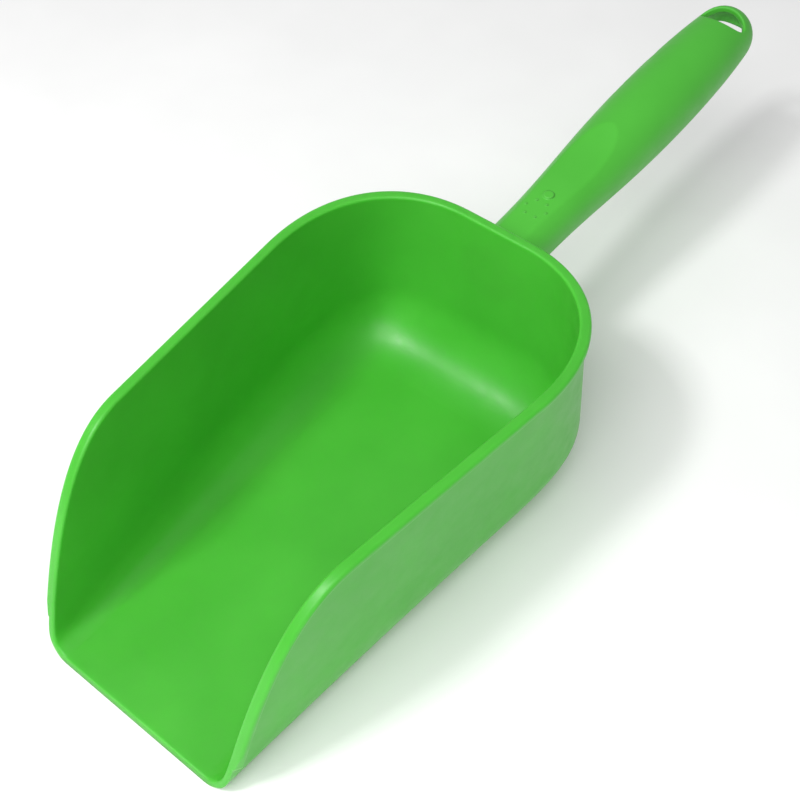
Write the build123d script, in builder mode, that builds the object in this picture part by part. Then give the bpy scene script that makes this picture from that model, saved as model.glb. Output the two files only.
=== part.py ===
"""Hand feed scoop in moulded polypropylene, modelled in build123d builder mode, in millimetres.

The bowl is one thin moulding: a flat floor, two drafted side walls, a rounded back, a flange round the rim
and a tang that stands out of its back. The hollow grip is two mouldings, a shell that is open underneath
and a cover that closes it. Their ribs trap the head of the tang, and pegs on the cover sit in the shell.

The frame's origin is the centre of the flat underside that the scoop stands on. +Z is up and +Y runs from
the front lip to the end of the grip.
"""
from build123d import *

import os
from math import cos, radians, sin, sqrt, tan

os.makedirs("parts", exist_ok=True)

# ---- driving dimensions: bowl -------------------------------------------------------------------------
BOWL_LENGTH = 209.0       # front lip to the flange's outermost point at the back
LIP_TO_ORIGIN = 90.0      # front lip to the middle of the flat underside
CORNER_START = 146.5      # front lip to where the back corners start
RIM_HALF_FRONT = 47.4     # half width over the flange, carried forward to the lip
RIM_HALF_BACK = 63.2      # half width over the flange, where the back corners start
BACK_FLAT = 29.0          # width of the straight middle of the back
CORNER_PULL_TOP = 0.62    # how far the corner curve keeps to its two straights at the top, 0 to 1
CORNER_PULL_FLOOR = 0.88  # the same at the floor, where the corners are squarer
RIM_HEIGHT = 81.5         # floor's underside to the top of the rim
DRAFT = 0.9               # lean of every wall, in degrees from the vertical
WALL = 2.4                # thickness of walls and floor
FOLD_FRONT = 9.0          # outer radius from wall to floor at the lip
FOLD_CORNER = 23.0        # the same where the back corners start
FOLD_BACK = 29.0          # the same at the middle of the back
SWEEP_LENGTH = 59.5       # length of the falling part of the rim, along Y
SWEEP_POWER = 2.16        # steepness at the lip, 1 for a straight line
SWEEP_PULL_TOP = 16.0     # how long the fall keeps to the level of the rim
SWEEP_PULL_LOW = 23.5     # how long it keeps to its slope at the lip

# ---- driving dimensions: rim flange -------------------------------------------------------------------
OVERHANG = 1.8            # how far the flange stands out of the wall
FLANGE_DEPTH = 3.0        # height of the flange
FLANGE_START = 5.0        # front lip to where the flange begins
FLANGE_FADE = 4.0         # length over which it reaches its full overhang
FADE_HEIGHT = 22.0        # height of the rim there
FLANGE_END_HEIGHT = 15.0  # lowest point of the flange

# ---- driving dimensions: grip -------------------------------------------------------------------------
GRIP_RISE = 4.3           # slope of the grip's axis, in degrees
GRIP_DROP = 20.9          # rim top down to the grip's axis, at the back wall
GRIP_LENGTH = 188.0       # back wall to the end of the grip, along its axis
FLARE_RADIUS = 14.8       # radius of the grip where it meets the wall
FLARE_LENGTH = 16.0
NECK_RADIUS = 12.0
SWELL_RADIUS = 16.3       # greatest radius
# each station of the swell, as a share of the grip's length from the back wall, and the radius there
SWELL_STATIONS = ((0.213, 12.6), (0.399, 14.9), (0.633, SWELL_RADIUS), (0.798, 15.6))
END_RADIUS = 13.6         # radius where the end starts to round off
END_SETBACK = 12.0        # end of the grip back to that place
END_SLOPE = 0.11          # fall of the radius per mm there
END_PULL = 8.0            # fullness of the rounded end
GRIP_WALL = 2.8           # wall of the grip's two mouldings
THUMB_CUT = 1.6           # how deep the thumb flat is cut into the neck
THUMB_FLAT_LENGTH = 46.0  # back wall to where the thumb flat starts to rise
THUMB_RISE_RADIUS = 136.0
THUMB_RISE_ANGLE = 24.0
SEAM_DROP = 7.5           # grip's axis down to the joint between shell and cover
COVER_SETBACK = 32.0      # end of the grip back to the end of the cover

# ---- driving dimensions: joints and small features ----------------------------------------------------
FIT = 0.15                # clearance between mouldings
TANG_LENGTH = 50.0        # back wall to the end of the tang's head
TANG_WIDTH = 9.0
TANG_HEIGHT = 9.0
TANG_ROOT = 6.0           # how far the tang runs back into the wall before it is trimmed
HEAD_LENGTH = 6.0
HEAD_WIDTH = 15.0
RIB = 3.6                 # thickness of the ribs that trap the head
PEG_DIAMETER = 4.0
PEG_HEIGHT = 6.0          # how far a peg stands above the joint
BOSS_DIAMETER = 8.0
PEG_NEAR_AT = 84.0        # back wall to the nearer peg
PEG_SETBACK = 12.0        # end of the cover back to the farther peg
HANG_HOLE_WIDTH = 19.6    # oval hanging hole in the top of the grip's end, across the grip
HANG_HOLE_LENGTH = 12.6   # the same, along the grip
HANG_HOLE_SETBACK = 15.2  # end of the grip back to the middle of the hanging hole
EYE_RIM_NEAR = 10.0       # grip's axis down to the open underside of the end, at the cover
EYE_RIM_LOW = 5.5         # the same at the middle of the hanging hole
EYE_RIM_END = 2.5         # grip's axis up to that rim at the end of the grip
NUB_DIAMETER = 4.4
NUB_HEIGHT = 0.8
NUB_AT = 36.4             # back wall to the nub on the thumb flat
PIP_DIAMETER = 1.1
PIP_HEIGHT = 0.35
PIP_MARGIN = 1.2          # long edge of the thumb flat in to the middles of the widest pips
PIP_RING_AT = 27.5        # back wall to the middle of the ring of pips
PIP_COUNT = 6

# ---- driving dimensions: rounded edges ----------------------------------------------------------------
RIM_ROUND_OUTER = 1.2
RIM_ROUND_INNER = 0.8     # runs on round the lip
RIM_ROUND_LOWER = 0.8
THUMB_ROUND = 2.0         # crease round the thumb flat
HANG_HOLE_ROUND = 0.7

# ---- derived positions --------------------------------------------------------------------------------
lip_y = -LIP_TO_ORIGIN
front_y = lip_y - 12.0                       # forms run past the lip and are trimmed there
corner_y = lip_y + CORNER_START
back_y = lip_y + BOWL_LENGTH
sweep_y = lip_y + SWEEP_LENGTH
lean = tan(radians(DRAFT))
lean_sine = sin(radians(DRAFT))
lean_cosine = cos(radians(DRAFT))
wall_base = FOLD_BACK + 8.0                  # height above which every wall is straight
form_top = RIM_HEIGHT + 8.0
taper_per_mm = (RIM_HALF_BACK - RIM_HALF_FRONT) / CORNER_START
half_front = RIM_HALF_FRONT - 12.0 * taper_per_mm


sweep_slope = SWEEP_POWER * RIM_HEIGHT / SWEEP_LENGTH
sweep_top = (sweep_y, RIM_HEIGHT)
sweep_low = (lip_y, 0.0)
sweep_pull_top = (sweep_y - SWEEP_PULL_TOP, RIM_HEIGHT)
sweep_pull_low = (lip_y + SWEEP_PULL_LOW, sweep_slope * SWEEP_PULL_LOW)
# the underside of the flange follows the same fall, set in square to it by the flange's depth
band_y = FLANGE_DEPTH * sweep_slope / sqrt(1 + sweep_slope**2)
band_z = -FLANGE_DEPTH / sqrt(1 + sweep_slope**2)
band_top = (sweep_y, RIM_HEIGHT - FLANGE_DEPTH)
band_low = (lip_y + band_y, band_z)
band_pull_top = (sweep_pull_top[0], RIM_HEIGHT - FLANGE_DEPTH)
band_pull_low = (sweep_pull_low[0] + band_y, sweep_pull_low[1] + band_z)
fade_start_y = lip_y + FLANGE_START
fade_end_y = fade_start_y + FLANGE_FADE
fade_out = RIM_HALF_FRONT + taper_per_mm * (FLANGE_START + FLANGE_FADE) - (RIM_HEIGHT - FADE_HEIGHT) * lean
fade_in = fade_out - OVERHANG - taper_per_mm * FLANGE_FADE

flange_low = RIM_HEIGHT - FLANGE_DEPTH
axis_z = RIM_HEIGHT - GRIP_DROP
wall_y = back_y - OVERHANG - GRIP_DROP * lean
rise_cosine = cos(radians(GRIP_RISE))
rise_sine = sin(radians(GRIP_RISE))
grip_axis = Axis((0, wall_y, axis_z), (0, rise_cosine, rise_sine))
# in grip_side, x runs along the grip and y up from its axis. In grip_top, y runs along the grip
grip_side = Plane(origin=(0, wall_y, axis_z), x_dir=(0, rise_cosine, rise_sine), z_dir=(1, 0, 0))
grip_top = Plane(origin=(0, wall_y, axis_z), x_dir=(1, 0, 0), z_dir=(0, -rise_sine, rise_cosine))
thumb_height = NECK_RADIUS - THUMB_CUT
thumb_half_width = sqrt(NECK_RADIUS**2 - thumb_height**2)
pip_ring_radius = thumb_half_width - PIP_MARGIN
end_at = GRIP_LENGTH - END_SETBACK
cover_length = GRIP_LENGTH - COVER_SETBACK
hang_hole_at = GRIP_LENGTH - HANG_HOLE_SETBACK
eye_rim_end = (GRIP_LENGTH, EYE_RIM_END)
crease_middle = grip_top.from_local_coords((thumb_half_width, THUMB_FLAT_LENGTH / 2, thumb_height))
hole_edge = grip_top.from_local_coords((0, hang_hole_at - HANG_HOLE_LENGTH / 2, SWELL_RADIUS))
peg_at = (PEG_NEAR_AT, cover_length - PEG_SETBACK)
hollow_end = cover_length - GRIP_WALL
bar_end = TANG_LENGTH - HEAD_LENGTH
rib_middle = bar_end - FIT - RIB / 2
tongue_top = -TANG_HEIGHT / 2 - FIT



def bowl_outline(front_in, corner_in, back_in, pull):
    """The bowl's plan outline, brought in by three amounts, with corners of the given pull."""
    side_front = half_front - front_in
    side_corner = RIM_HALF_BACK - corner_in
    end_y = back_y - back_in
    flat = BACK_FLAT / 2
    slope = (side_corner - side_front) / (corner_y - front_y)
    reach = pull * (end_y - corner_y)
    shoulder = (side_corner + slope * reach, corner_y + reach)
    elbow = (flat + pull * (side_corner - flat), end_y)
    with BuildLine() as outline:
        Line((side_front, front_y), (side_corner, corner_y))
        Bezier((side_corner, corner_y), shoulder, elbow, (flat, end_y))
        Line((flat, end_y), (-flat, end_y))
        Bezier((-flat, end_y), (-elbow[0], end_y), (-shoulder[0], shoulder[1]), (-side_corner, corner_y))
        Line((-side_corner, corner_y), (-side_front, front_y))
        Line((-side_front, front_y), (side_front, front_y))
    return outline.line


def wall_in(height, base, radius):
    """How far a wall stands in at one height, when a fold of this radius joins it to a floor at base."""
    if height - base >= radius * (1 - lean_sine):
        return (RIM_HEIGHT - height) * lean
    centre_in = (RIM_HEIGHT - base) * lean + radius * (1 / lean_cosine - lean)
    return centre_in - sqrt(radius**2 - (radius - height + base) ** 2)


def form_outline(height, skin):
    """Plan outline of the bowl's surface that lies skin below its outside, at one height."""
    front_in = OVERHANG + skin + wall_in(height, skin, FOLD_FRONT - skin)
    corner_in = OVERHANG + skin + wall_in(height, skin, FOLD_CORNER - skin)
    back_in = OVERHANG + skin + wall_in(height, skin, FOLD_BACK - skin)
    pull = CORNER_PULL_FLOOR + (CORNER_PULL_TOP - CORNER_PULL_FLOOR) * height / RIM_HEIGHT
    return bowl_outline(front_in, corner_in, back_in, pull)


def fold_heights(skin):
    """Heights of the sections that shape the fold, even steps round its largest arc and then two above."""
    radius = FOLD_BACK - skin
    steps = [skin + radius * (1 - cos(radians(angle))) for angle in (0, 15, 30, 45, 60, 75, 88)]
    return steps + [FOLD_BACK + 4.0, wall_base]


def grip_profile(inset):
    """Half of the grip's side outline, from its axis to a surface that lies inset below its own."""
    neck = (FLARE_LENGTH, NECK_RADIUS - inset)
    end = (end_at, END_RADIUS - inset)
    stations = [neck] + [(share * GRIP_LENGTH, radius - inset) for share, radius in SWELL_STATIONS] + [end]
    with BuildLine() as outline:
        Line((-FLARE_LENGTH, 0), (-FLARE_LENGTH, FLARE_RADIUS - inset))
        Line((-FLARE_LENGTH, FLARE_RADIUS - inset), (0, FLARE_RADIUS - inset))
        Bezier(
            (0, FLARE_RADIUS - inset),
            (FLARE_LENGTH * 0.15, NECK_RADIUS - inset),
            (FLARE_LENGTH * 0.5, NECK_RADIUS - inset),
            neck,
        )
        Spline(*stations, tangents=((1, 0), (1, -END_SLOPE)))
        Bezier(
            end,
            (end_at + END_PULL, END_RADIUS - inset - END_SLOPE * END_PULL),
            (GRIP_LENGTH - inset, END_PULL),
            (GRIP_LENGTH - inset, 0),
        )
        Line((GRIP_LENGTH - inset, 0), (-FLARE_LENGTH, 0))
    return outline.line


def thumb_outline(depth):
    """Side outline of the space over the thumb flat, down to a surface that lies depth below it."""
    radius = THUMB_RISE_RADIUS + depth
    start = (THUMB_FLAT_LENGTH, thumb_height - depth)
    middle_angle = radians(THUMB_RISE_ANGLE / 2)
    end_angle = radians(THUMB_RISE_ANGLE)
    middle = (start[0] + radius * sin(middle_angle), start[1] + radius * (1 - cos(middle_angle)))
    end = (start[0] + radius * sin(end_angle), start[1] + radius * (1 - cos(end_angle)))
    with BuildLine() as outline:
        Line((-FLARE_LENGTH, start[1]), start)
        ThreePointArc(start, middle, end)
        Line(end, (end[0], 2 * SWELL_RADIUS))
        Line((end[0], 2 * SWELL_RADIUS), (-FLARE_LENGTH, 2 * SWELL_RADIUS))
        Line((-FLARE_LENGTH, 2 * SWELL_RADIUS), (-FLARE_LENGTH, start[1]))
    return outline.line


# ---- forms that the bowl is cut from ------------------------------------------------------------------
with BuildPart() as outer_form:
    for height in fold_heights(0.0):
        with BuildSketch(Plane.XY.offset(height)):
            make_face(form_outline(height, 0.0))
    loft()
    for height in (wall_base, form_top):
        with BuildSketch(Plane.XY.offset(height)):
            make_face(form_outline(height, 0.0))
    loft(ruled=True)

with BuildPart() as inner_form:
    for height in fold_heights(WALL):
        with BuildSketch(Plane.XY.offset(height)):
            make_face(form_outline(height, WALL))
    loft()
    for height in (wall_base, form_top):
        with BuildSketch(Plane.XY.offset(height)):
            make_face(form_outline(height, WALL))
    loft(ruled=True)

with BuildPart() as flange_form:
    for height in (0.0, form_top):
        inset = (RIM_HEIGHT - height) * lean
        pull = CORNER_PULL_FLOOR + (CORNER_PULL_TOP - CORNER_PULL_FLOOR) * height / RIM_HEIGHT
        with BuildSketch(Plane.XY.offset(height)):
            make_face(bowl_outline(inset, inset, inset, pull))
    loft(ruled=True)

with BuildPart() as side_form:
    with BuildSketch(Plane.YZ):
        with BuildLine():
            Bezier(sweep_top, sweep_pull_top, sweep_pull_low, sweep_low)
            Line(sweep_low, (lip_y, -FOLD_BACK))
            Line((lip_y, -FOLD_BACK), (back_y + FOLD_BACK, -FOLD_BACK))
            Line((back_y + FOLD_BACK, -FOLD_BACK), (back_y + FOLD_BACK, RIM_HEIGHT))
            Line((back_y + FOLD_BACK, RIM_HEIGHT), sweep_top)
        make_face()
    extrude(amount=2 * RIM_HALF_BACK, both=True)

with BuildPart() as flange_band:
    add(flange_form.part)
    add(side_form.part, mode=Mode.INTERSECT)
    with BuildSketch(Plane.YZ):
        with BuildLine():
            Bezier(band_top, band_pull_top, band_pull_low, band_low)
            Line(band_low, (band_low[0], -FOLD_BACK))
            Line((band_low[0], -FOLD_BACK), (back_y + FOLD_BACK, -FOLD_BACK))
            Line((back_y + FOLD_BACK, -FOLD_BACK), (back_y + FOLD_BACK, band_top[1]))
            Line((back_y + FOLD_BACK, band_top[1]), band_top)
        make_face()
    extrude(amount=2 * RIM_HALF_BACK, both=True, mode=Mode.SUBTRACT)
    add(inner_form.part, mode=Mode.SUBTRACT)
    with BuildSketch(Plane.XY) as flange_ends:
        with BuildLine():
            Line((fade_in, front_y), (fade_in, fade_start_y))
            Line((fade_in, fade_start_y), (fade_out, fade_end_y))
            Line((fade_out, fade_end_y), (fade_out + FOLD_BACK, fade_end_y))
            Line((fade_out + FOLD_BACK, fade_end_y), (fade_out + FOLD_BACK, front_y))
            Line((fade_out + FOLD_BACK, front_y), (fade_in, front_y))
        make_face()
        mirror(about=Plane.YZ)
    extrude(amount=RIM_HEIGHT, mode=Mode.SUBTRACT)
    with BuildSketch(Plane.XY.offset(-FOLD_BACK)):
        with Locations((0, front_y)):
            Rectangle(4 * RIM_HALF_BACK, 4 * SWEEP_LENGTH)
    extrude(amount=FOLD_BACK + FLANGE_END_HEIGHT, mode=Mode.SUBTRACT)

# ---- forms that the grip is cut from ------------------------------------------------------------------
with BuildPart() as grip_form:
    with BuildSketch(grip_side):
        make_face(grip_profile(0.0))
    revolve(axis=grip_axis)

with BuildPart() as grip_hollow:
    with BuildSketch(grip_side):
        make_face(grip_profile(GRIP_WALL))
    revolve(axis=grip_axis)
    with BuildSketch(grip_side):
        with Locations((hollow_end + GRIP_LENGTH / 2, 0)):
            Rectangle(GRIP_LENGTH, 4 * SWELL_RADIUS)
    extrude(amount=2 * SWELL_RADIUS, both=True, mode=Mode.SUBTRACT)

with BuildPart() as shell_hollow:
    add(grip_hollow.part)
    # the shell keeps its wall under the thumb flat
    with BuildSketch(grip_side):
        make_face(thumb_outline(GRIP_WALL))
    extrude(amount=2 * SWELL_RADIUS, both=True, mode=Mode.SUBTRACT)
    with BuildSketch(grip_side):
        with Locations((rib_middle, 0)):
            Rectangle(RIB, 4 * SWELL_RADIUS)
    extrude(amount=2 * SWELL_RADIUS, both=True, mode=Mode.SUBTRACT)
    with BuildSketch(grip_top.offset(-SEAM_DROP)):
        with Locations(*[(0, at) for at in peg_at]):
            Circle(BOSS_DIAMETER / 2)
    extrude(amount=2 * SWELL_RADIUS, mode=Mode.SUBTRACT)

with BuildPart() as cover_hollow:
    add(grip_hollow.part)
    with BuildSketch(grip_top.offset(-SEAM_DROP)):
        with Locations(*[(0, at) for at in peg_at]):
            Circle(BOSS_DIAMETER / 2)
    extrude(amount=-2 * SWELL_RADIUS, mode=Mode.SUBTRACT)

with BuildPart() as eye_hollow:
    with BuildSketch(grip_side):
        make_face(grip_profile(GRIP_WALL))
    revolve(axis=grip_axis)
    with BuildSketch(grip_side):
        with Locations((cover_length - GRIP_LENGTH, 0)):
            Rectangle(2 * GRIP_LENGTH, 4 * SWELL_RADIUS)
    extrude(amount=2 * SWELL_RADIUS, both=True, mode=Mode.SUBTRACT)

clear_of_wall = outer_form.part.moved(Location((0, FIT, 0)))

# ---- bowl ---------------------------------------------------------------------------------------------
with BuildPart() as bowl:
    add(outer_form.part)
    add(side_form.part, mode=Mode.INTERSECT)
    with BuildSketch(grip_side):
        with Locations(((bar_end - TANG_ROOT) / 2, 0)):
            Rectangle(bar_end + TANG_ROOT, TANG_HEIGHT)
    extrude(amount=TANG_WIDTH / 2, both=True)
    with BuildSketch(grip_side):
        with Locations((TANG_LENGTH - HEAD_LENGTH / 2, 0)):
            Rectangle(HEAD_LENGTH, TANG_HEIGHT)
    extrude(amount=HEAD_WIDTH / 2, both=True)
    add(inner_form.part, mode=Mode.SUBTRACT)
    add(flange_band.part)
    # each rounded edge is one smooth chain, picked by its straight stretch at the middle of the back
    straight_edges = bowl.edges().filter_by(Axis.X)
    lower_edges = straight_edges.filter_by_position(Axis.Z, flange_low - FIT, flange_low + FIT)
    fillet(lower_edges.sort_by(Axis.Y)[-1], RIM_ROUND_LOWER)
    fillet(bowl.edges().filter_by(Axis.X).group_by(Axis.Z)[-1].sort_by(Axis.Y)[-1], RIM_ROUND_OUTER)
    fillet(bowl.edges().filter_by(Axis.X).group_by(Axis.Z)[-1].sort_by(Axis.Y)[-2], RIM_ROUND_INNER)
bowl.part.label = "bowl"
export_step(bowl.part, "parts/bowl.step")

# ---- grip shell ---------------------------------------------------------------------------------------
with BuildPart() as grip_shell:
    add(grip_form.part)
    add(shell_hollow.part, mode=Mode.SUBTRACT)
    # room for the cover, and for the tang to drop in past the rib
    with BuildSketch(grip_side):
        with Locations(((cover_length - FLARE_LENGTH) / 2, -SEAM_DROP - SWELL_RADIUS)):
            Rectangle(cover_length + FLARE_LENGTH, 2 * SWELL_RADIUS)
    extrude(amount=2 * SWELL_RADIUS, both=True, mode=Mode.SUBTRACT)
    with BuildSketch(grip_side):
        with Locations((rib_middle, TANG_HEIGHT / 2 + FIT - SWELL_RADIUS)):
            Rectangle(RIB, 2 * SWELL_RADIUS)
    extrude(amount=TANG_WIDTH / 2 + FIT, both=True, mode=Mode.SUBTRACT)
    with BuildSketch(grip_top.offset(-SEAM_DROP)):
        with Locations(*[(0, at) for at in peg_at]):
            Circle(PEG_DIAMETER / 2 + FIT)
    extrude(amount=PEG_HEIGHT + FIT, mode=Mode.SUBTRACT)
    # the end that meets the bowl follows its back wall
    add(clear_of_wall, mode=Mode.SUBTRACT)
    # thumb flat
    with BuildSketch(grip_side):
        make_face(thumb_outline(0.0))
    extrude(amount=2 * SWELL_RADIUS, both=True, mode=Mode.SUBTRACT)
    fillet(grip_shell.edges().sort_by_distance(crease_middle)[0], THUMB_ROUND)
    # hollow end that is open underneath, with the hanging hole in its top
    add(eye_hollow.part, mode=Mode.SUBTRACT)
    with BuildSketch(grip_side):
        with BuildLine():
            ThreePointArc((cover_length, -EYE_RIM_NEAR), (hang_hole_at, -EYE_RIM_LOW), eye_rim_end)
            Line(eye_rim_end, (GRIP_LENGTH, -2 * SWELL_RADIUS))
            Line((GRIP_LENGTH, -2 * SWELL_RADIUS), (cover_length, -2 * SWELL_RADIUS))
            Line((cover_length, -2 * SWELL_RADIUS), (cover_length, -EYE_RIM_NEAR))
        make_face()
    extrude(amount=2 * SWELL_RADIUS, both=True, mode=Mode.SUBTRACT)
    with BuildSketch(grip_top):
        with Locations((0, hang_hole_at)):
            Ellipse(HANG_HOLE_WIDTH / 2, HANG_HOLE_LENGTH / 2)
    extrude(amount=2 * SWELL_RADIUS, mode=Mode.SUBTRACT)
    fillet(grip_shell.edges().sort_by_distance(hole_edge)[0], HANG_HOLE_ROUND)
    # moulded nub and ring of pips on the thumb flat
    with BuildSketch(grip_top.offset(thumb_height - NUB_HEIGHT)):
        with Locations((0, NUB_AT)):
            Circle(NUB_DIAMETER / 2)
    extrude(amount=2 * NUB_HEIGHT)
    with BuildSketch(grip_top.offset(thumb_height - PIP_HEIGHT)):
        with Locations((0, PIP_RING_AT)):
            with PolarLocations(pip_ring_radius, PIP_COUNT):
                Circle(PIP_DIAMETER / 2)
    extrude(amount=2 * PIP_HEIGHT)
grip_shell.part.label = "grip_shell"
export_step(grip_shell.part, "parts/grip_shell.step")

# ---- grip cover ---------------------------------------------------------------------------------------
with BuildPart() as grip_cover:
    add(grip_form.part)
    with BuildSketch(grip_side):
        with Locations(((cover_length - FIT - FLARE_LENGTH) / 2, -SEAM_DROP - SWELL_RADIUS)):
            Rectangle(cover_length - FIT + FLARE_LENGTH, 2 * SWELL_RADIUS)
    extrude(amount=2 * SWELL_RADIUS, both=True, mode=Mode.INTERSECT)
    add(cover_hollow.part, mode=Mode.SUBTRACT)
    with BuildSketch(grip_side):
        with Locations((rib_middle, (tongue_top - NECK_RADIUS) / 2)):
            Rectangle(RIB, NECK_RADIUS + tongue_top)
    extrude(amount=TANG_WIDTH / 2, both=True)
    with BuildSketch(grip_top.offset(-SEAM_DROP)):
        with Locations(*[(0, at) for at in peg_at]):
            Circle(PEG_DIAMETER / 2)
    extrude(amount=PEG_HEIGHT)
    add(clear_of_wall, mode=Mode.SUBTRACT)
grip_cover.part.label = "grip_cover"
export_step(grip_cover.part, "parts/grip_cover.step")
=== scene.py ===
import math

import bpy
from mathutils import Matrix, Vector

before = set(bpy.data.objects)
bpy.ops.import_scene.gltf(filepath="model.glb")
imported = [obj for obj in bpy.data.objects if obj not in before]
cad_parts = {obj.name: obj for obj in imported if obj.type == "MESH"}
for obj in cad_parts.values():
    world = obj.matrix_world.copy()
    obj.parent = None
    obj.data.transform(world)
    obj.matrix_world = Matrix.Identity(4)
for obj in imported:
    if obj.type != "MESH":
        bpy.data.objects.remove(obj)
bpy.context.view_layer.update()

bl_info = {
    "name": "Feed scoop finishes",
    "version": (1, 0, 0),
    "blender": (4, 5, 0),
    "location": "3D View > Sidebar > Scoop",
    "description": "Moulded polypropylene finishes, studio floor, lights and camera for a hand feed scoop",
    "category": "Material",
}

MM = 0.001

# strength of the tool grain on each moulding
BOWL_GRAIN = 0.25
GRIP_GRAIN = 0.35

# share of the light that enters the plastic and leaves it again; none on the grip, whose nub and pips stay crisp
BOWL_GLOW = 0.6
GRIP_GLOW = 0.0

# the soft boxes face the middle of the bowl, each from its own direction, in metres
LIGHT_TARGET = Vector((0.0, 0.03, 0.03))
KEY_DIRECTION = (-0.22, -0.48, 0.85)
KEY_DISTANCE = 0.9
KEY_SIZE = 0.14
FILL_DIRECTION = (0.16, -0.55, 0.84)
FILL_DISTANCE = 1.25
FILL_SIZE = 0.9

# camera, in metres, degrees and millimetres
CAMERA_PLACE = (0.18344, -0.16966, 0.39309)
CAMERA_TILT = 39.21
CAMERA_TURN = 38.87
SENSOR_WIDTH = 36.0


# ---- colours and nodes --------------------------------------------------------------------------------
def linear(hex_colour):
    """An sRGB hex colour as the linear RGBA that shader sockets take."""
    channels = [int(hex_colour[i:i + 2], 16) / 255 for i in (1, 3, 5)]
    return (*(c / 12.92 if c <= 0.04045 else ((c + 0.055) / 1.055) ** 2.4 for c in channels), 1.0)


def hex_of(colour):
    """A colour setting, held as display values, as the hex text that the finishes take."""
    return "#" + "".join(f"{round(c * 255):02x}" for c in colour[:3])


def add_node(tree, kind, settings=None, inputs=None):
    """Adds a node with its settings, and gives each named input a value or a link from an output socket."""
    made = tree.nodes.new(kind)
    for name, value in (settings or {}).items():
        setattr(made, name, value)
    for name, value in (inputs or {}).items():
        socket = made.inputs[name]
        if isinstance(value, bpy.types.NodeSocket):
            tree.links.new(value, socket)
        else:
            socket.default_value = value
    return made


def ramp_node(tree, source, stops):
    """A colour ramp from a list of positions and linear colours."""
    made = add_node(tree, "ShaderNodeValToRGB", inputs={"Fac": source})
    elements = made.color_ramp.elements
    for (place, colour), element in zip(stops, (elements[0], elements[-1])):
        element.position = place
        element.color = colour
    return made.outputs["Color"]


# ---- finishes -----------------------------------------------------------------------------------------
def moulded_polypropylene(name, body, deep, pale, roughness, grain, glow):
    """Polypropylene injection moulded in a lightly spark-eroded tool: a soft satin sheen over an even dyed
    body. The eye reads slow flow clouds in the dye, a faint sink in broad walls, a fine grain that breaks the
    highlight, paler edges that are painted highlight as well as rubbing by hands and sacks, and a slight glow in
    thin walls."""
    finish = bpy.data.materials.new(name)
    finish.use_nodes = True
    tree = finish.node_tree
    tree.nodes.clear()
    place = add_node(tree, "ShaderNodeTexCoord").outputs["Object"]
    # dye clouds about 45 mm across, left by the flow of the melt
    clouds = add_node(tree, "ShaderNodeTexNoise", inputs={
        "Vector": place, "Scale": 1 / (45 * MM), "Detail": 3.0, "Roughness": 0.5}).outputs["Fac"]
    # rubbed marks about 9 mm across, seen as changes in gloss
    marks = add_node(tree, "ShaderNodeTexNoise", inputs={
        "Vector": place, "Scale": 1 / (9 * MM), "Detail": 5.0, "Roughness": 0.6}).outputs["Fac"]
    # tool grain is 0.1 mm and too fine to show, so it is drawn 0.7 mm across
    tool_grain = add_node(tree, "ShaderNodeTexNoise", inputs={
        "Vector": place, "Scale": 1 / (0.7 * MM), "Detail": 2.0, "Roughness": 0.5}).outputs["Fac"]
    # sink of broad walls, a slow wave about 30 mm long
    sink = add_node(tree, "ShaderNodeTexNoise", inputs={
        "Vector": place, "Scale": 1 / (30 * MM), "Detail": 1.0, "Roughness": 0.4}).outputs["Fac"]
    dye = ramp_node(tree, clouds, ((0.32, linear(deep)), (0.68, linear(body))))
    # edges: where a normal averaged over 1.2 mm leaves the true one; these edges are painted paler, partly
    # rubbing and partly a painted edge highlight
    soft_normal = add_node(tree, "ShaderNodeBevel", {"samples": 6}, {"Radius": 1.2 * MM}).outputs["Normal"]
    true_normal = add_node(tree, "ShaderNodeNewGeometry").outputs["Normal"]
    along = add_node(tree, "ShaderNodeVectorMath", {"operation": "DOT_PRODUCT"}, {
        0: soft_normal, 1: true_normal}).outputs["Value"]
    rubbed = add_node(tree, "ShaderNodeMapRange", inputs={
        "Value": along, "From Min": 0.995, "From Max": 0.86, "To Min": 0.0, "To Max": 0.75}).outputs["Result"]
    worn_and_painted_highlight = add_node(tree, "ShaderNodeMath", {"operation": "MULTIPLY"}, {0: rubbed, 1: marks}).outputs["Value"]
    # the pale colour on the edges is a painted highlight along the rims as well as rubbing
    colour = add_node(tree, "ShaderNodeMix", {"data_type": "RGBA"}, {
        "Factor": worn_and_painted_highlight, 6: dye, 7: linear(pale)}).outputs[2]
    gloss = add_node(tree, "ShaderNodeMapRange", inputs={
        "Value": marks, "From Min": 0.3, "From Max": 0.7, "To Min": roughness - 0.05,
        "To Max": roughness + 0.07}).outputs["Result"]
    waved = add_node(tree, "ShaderNodeBump", inputs={
        "Strength": 0.012, "Distance": 1.5 * MM, "Height": sink, "Normal": soft_normal}).outputs["Normal"]
    grained = add_node(tree, "ShaderNodeBump", inputs={
        "Strength": grain, "Distance": 0.05 * MM, "Height": tool_grain, "Normal": waved}).outputs["Normal"]
    # light that enters the plastic leaves it up to 6 mm away, green the furthest
    shader = add_node(tree, "ShaderNodeBsdfPrincipled", inputs={
        "Base Color": colour, "Roughness": gloss, "IOR": 1.49, "Specular IOR Level": 0.4, "Normal": grained,
        "Subsurface Weight": glow, "Subsurface Radius": (0.5, 1.0, 0.4), "Subsurface Scale": 6 * MM})
    add_node(tree, "ShaderNodeOutputMaterial", inputs={"Surface": shader.outputs["BSDF"]})
    return finish


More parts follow.
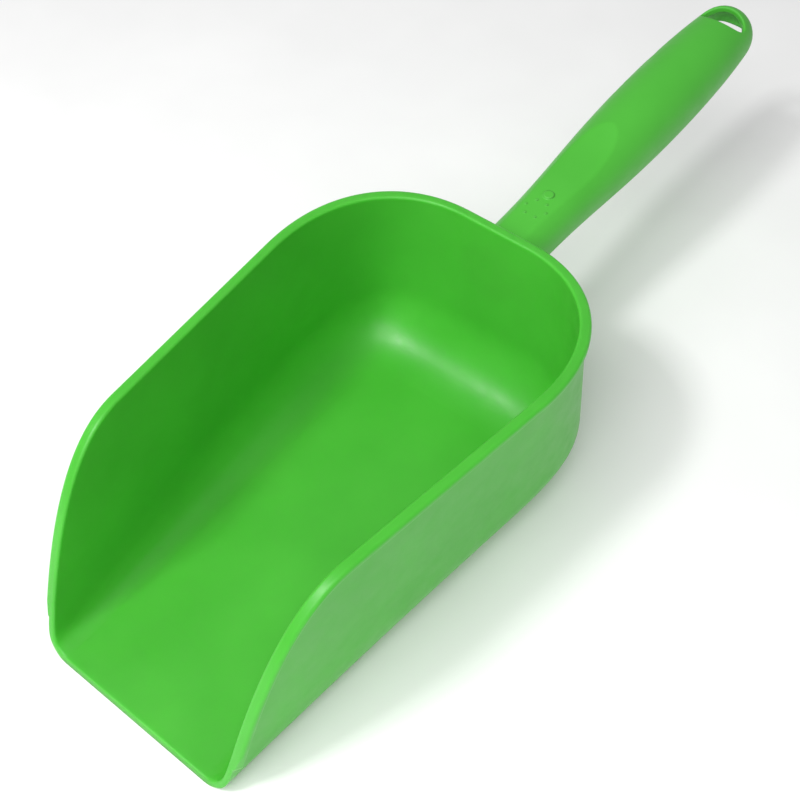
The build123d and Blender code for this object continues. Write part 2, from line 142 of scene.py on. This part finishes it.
def studio_paint(name, colour):
    """Matt emulsion on a studio floor: pale, even, with a faint mottle of the roller and no gloss."""
    finish = bpy.data.materials.new(name)
    finish.use_nodes = True
    tree = finish.node_tree
    tree.nodes.clear()
    place = add_node(tree, "ShaderNodeTexCoord").outputs["Object"]
    # roller mottle about 60 mm across
    mottle = add_node(tree, "ShaderNodeTexNoise", inputs={
        "Vector": place, "Scale": 1 / (60 * MM), "Detail": 2.0}).outputs["Fac"]
    tone = ramp_node(tree, mottle, ((0.3, linear(colour)), (0.7, linear("#ffffff"))))
    shader = add_node(tree, "ShaderNodeBsdfPrincipled", inputs={
        "Base Color": tone, "Roughness": 0.9, "Specular IOR Level": 0.1})
    add_node(tree, "ShaderNodeOutputMaterial", inputs={"Surface": shader.outputs["BSDF"]})
    return finish


def give_finish(names, finish):
    """Puts one finish in every material slot of these CAD nodes."""
    for name in names:
        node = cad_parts[name]
        if not node.data.materials:
            node.data.materials.append(finish)
        for slot in node.material_slots:
            slot.material = finish


# ---- settings -----------------------------------------------------------------------------------------
def colour_setting(name, text, default):
    channels = [int(default[i:i + 2], 16) / 255 for i in (1, 3, 5)]
    return bpy.props.FloatVectorProperty(
        name=name, description=text, default=channels, size=3, min=0, max=1, subtype="COLOR_GAMMA")


class ScoopFinishSettings(bpy.types.PropertyGroup):
    """Colours and gloss of the scoop's mouldings."""
    body: colour_setting("Body", "Colour of the dyed plastic", "#50bb3a")
    deep: colour_setting("Deep", "Colour of the darker flow clouds", "#49b234")
    # this colour paints the edges paler: a painted edge highlight as well as rubbing
    pale: colour_setting("Rubbed", "Colour of edges that have been rubbed", "#6cd759")
    bowl_roughness: bpy.props.FloatProperty(
        name="Bowl roughness", description="Roughness of the bowl's satin surface", default=0.36, min=0, max=1)
    grip_roughness: bpy.props.FloatProperty(
        name="Grip roughness", description="Roughness of the grip's surface", default=0.42, min=0, max=1)


class ScoopStudioSettings(bpy.types.PropertyGroup):
    """Floor, lights and camera."""
    floor_size: bpy.props.FloatProperty(
        name="Floor size", description="Length of the square floor's side", default=6.0, unit="LENGTH")
    floor_colour: colour_setting("Floor", "Darkest tone of the floor's mottle", "#fbfbfb")
    sky: bpy.props.FloatProperty(
        name="Sky", description="Strength of the even light from all round", default=0.40, min=0)
    key_power: bpy.props.FloatProperty(
        name="Key power", description="Power of the main soft box, in watts", default=3.2, min=0)
    fill_power: bpy.props.FloatProperty(
        name="Fill power", description="Power of the broad fill soft box, in watts", default=10.0, min=0)
    lens: bpy.props.FloatProperty(
        name="Lens", description="Focal length in millimetres on a 36 mm sensor", default=54.0, min=1)


# ---- pieces -------------------------------------------------------------------------------------------
class SCOOP_OT_bowl(bpy.types.Operator):
    """Give the bowl its moulded finish"""
    bl_idname = "scoop.bowl"
    bl_label = "Finish the bowl"

    def execute(self, context):
        chosen = context.scene.scoop_finish
        finish = moulded_polypropylene(
            "polypropylene_moulded_satin", hex_of(chosen.body), hex_of(chosen.deep), hex_of(chosen.pale),
            chosen.bowl_roughness, BOWL_GRAIN, BOWL_GLOW)
        give_finish(["bowl"], finish)
        return {"FINISHED"}


class SCOOP_OT_grip(bpy.types.Operator):
    """Give the grip's shell and cover their moulded finish"""
    bl_idname = "scoop.grip"
    bl_label = "Finish the grip"

    def execute(self, context):
        chosen = context.scene.scoop_finish
        finish = moulded_polypropylene(
            "polypropylene_moulded_grained", hex_of(chosen.body), hex_of(chosen.deep), hex_of(chosen.pale),
            chosen.grip_roughness, GRIP_GRAIN, GRIP_GLOW)
        give_finish(["grip_shell", "grip_cover"], finish)
        return {"FINISHED"}


def soft_box(name, direction, distance, size, power):
    """A square area light that faces the middle of the bowl from one direction."""
    away = Vector(direction).normalized()
    bpy.ops.object.light_add(type="AREA", location=LIGHT_TARGET + away * distance)
    light = bpy.context.object
    light.name = name
    light.rotation_euler = away.to_track_quat("Z", "Y").to_euler()
    light.data.size = size
    light.data.energy = power


class SCOOP_OT_studio(bpy.types.Operator):
    """Build the pale floor, the even light, the soft boxes and the camera"""
    bl_idname = "scoop.studio"
    bl_label = "Build the studio"

    def execute(self, context):
        chosen = context.scene.scoop_studio
        bpy.ops.object.select_all(action="DESELECT")
        bpy.ops.mesh.primitive_plane_add(size=chosen.floor_size, location=(0, 0, 0))
        floor = context.object
        floor.name = "studio_floor"
        floor.data.materials.append(studio_paint("studio_emulsion_matt", hex_of(chosen.floor_colour)))
        world = bpy.data.worlds.new("studio_daylight")
        world.use_nodes = True
        daylight = world.node_tree.nodes["Background"]
        daylight.inputs["Color"].default_value = (1.0, 1.0, 1.0, 1.0)
        daylight.inputs["Strength"].default_value = chosen.sky
        context.scene.world = world
        soft_box("key_soft_box", KEY_DIRECTION, KEY_DISTANCE, KEY_SIZE, chosen.key_power)
        soft_box("fill_soft_box", FILL_DIRECTION, FILL_DISTANCE, FILL_SIZE, chosen.fill_power)
        bpy.ops.object.camera_add(
            location=CAMERA_PLACE,
            rotation=(math.radians(CAMERA_TILT), 0.0, math.radians(CAMERA_TURN)))
        camera = context.object
        camera.name = "studio_camera"
        camera.data.lens = chosen.lens
        camera.data.sensor_width = SENSOR_WIDTH
        camera.data.clip_start = 0.01
        context.scene.camera = camera
        context.scene.view_settings.view_transform = "Standard"
        return {"FINISHED"}


class SCOOP_PT_panel(bpy.types.Panel):
    """Feed scoop"""
    bl_idname = "SCOOP_PT_panel"
    bl_label = "Feed scoop"
    bl_space_type = "VIEW_3D"
    bl_region_type = "UI"
    bl_category = "Scoop"

    def draw(self, context):
        for settings in (context.scene.scoop_finish, context.scene.scoop_studio):
            for name in settings.bl_rna.properties.keys():
                if name not in ("rna_type", "name"):
                    self.layout.prop(settings, name)
        for operator in (SCOOP_OT_bowl, SCOOP_OT_grip, SCOOP_OT_studio):
            self.layout.operator(operator.bl_idname)


CLASSES = (
    ScoopFinishSettings, ScoopStudioSettings, SCOOP_OT_bowl, SCOOP_OT_grip, SCOOP_OT_studio, SCOOP_PT_panel)


def register():
    for each in CLASSES:
        bpy.utils.register_class(each)
    bpy.types.Scene.scoop_finish = bpy.props.PointerProperty(type=ScoopFinishSettings)
    bpy.types.Scene.scoop_studio = bpy.props.PointerProperty(type=ScoopStudioSettings)


def unregister():
    del bpy.types.Scene.scoop_studio
    del bpy.types.Scene.scoop_finish
    for each in reversed(CLASSES):
        bpy.utils.unregister_class(each)


def main():
    register()
    bpy.ops.scoop.studio()
    bpy.ops.scoop.bowl()
    bpy.ops.scoop.grip()


if __name__ == "__main__":
    main()
